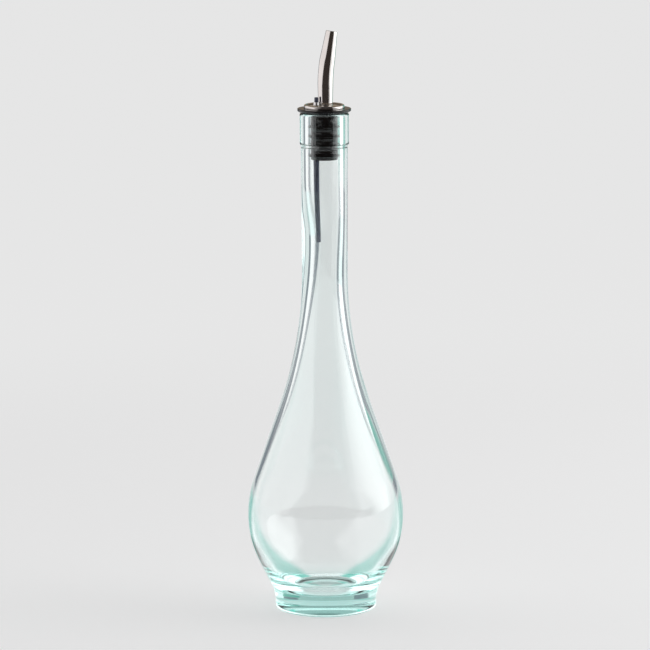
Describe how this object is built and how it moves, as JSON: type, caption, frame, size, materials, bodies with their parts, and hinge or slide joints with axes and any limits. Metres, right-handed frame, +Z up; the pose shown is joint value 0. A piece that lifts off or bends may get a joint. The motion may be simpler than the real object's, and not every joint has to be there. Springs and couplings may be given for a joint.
{
  "type": "oil bottle",
  "caption": "Tall clear glass oil bottle with a teardrop body, a slim neck and a removable steel pouring spout in a ribbed black stopper.",
  "frame": {"origin": "centre of the foot, on the plane that the bottle stands on", "axes": "+Z up the bottle's axis; the spout at rest leans away at 32 degrees from +X towards +Y"},
  "size_m": [0.0878, 0.0878, 0.3266],
  "materials": {
    "glass": "clear, faint aqua-green tint that deepens where the glass is thick",
    "stopper_rubber": "black, satin",
    "steel": "polished stainless",
    "tube_plastic": "dark grey, satin"
  },
  "bodies": {
    "bottle": {"bottle": "glass"},
    "stopper": {"stopper": "stopper_rubber"},
    "pouring_head": {"shank": "steel", "cap": "steel", "spout": "steel", "vent_ferrule": "steel", "breather_tube": "tube_plastic"}
  },
  "joints": [
    {"name": "pourer_lift", "type": "slide", "parent": "bottle", "child": "stopper", "axis": [0, 0, 1], "range_m": [0, 0.08]},
    {"name": "spout_turn", "type": "hinge", "parent": "stopper", "child": "pouring_head", "pos_m": [0, 0, 0.27], "axis": [0, 0, 1], "continuous": true}
  ]
}
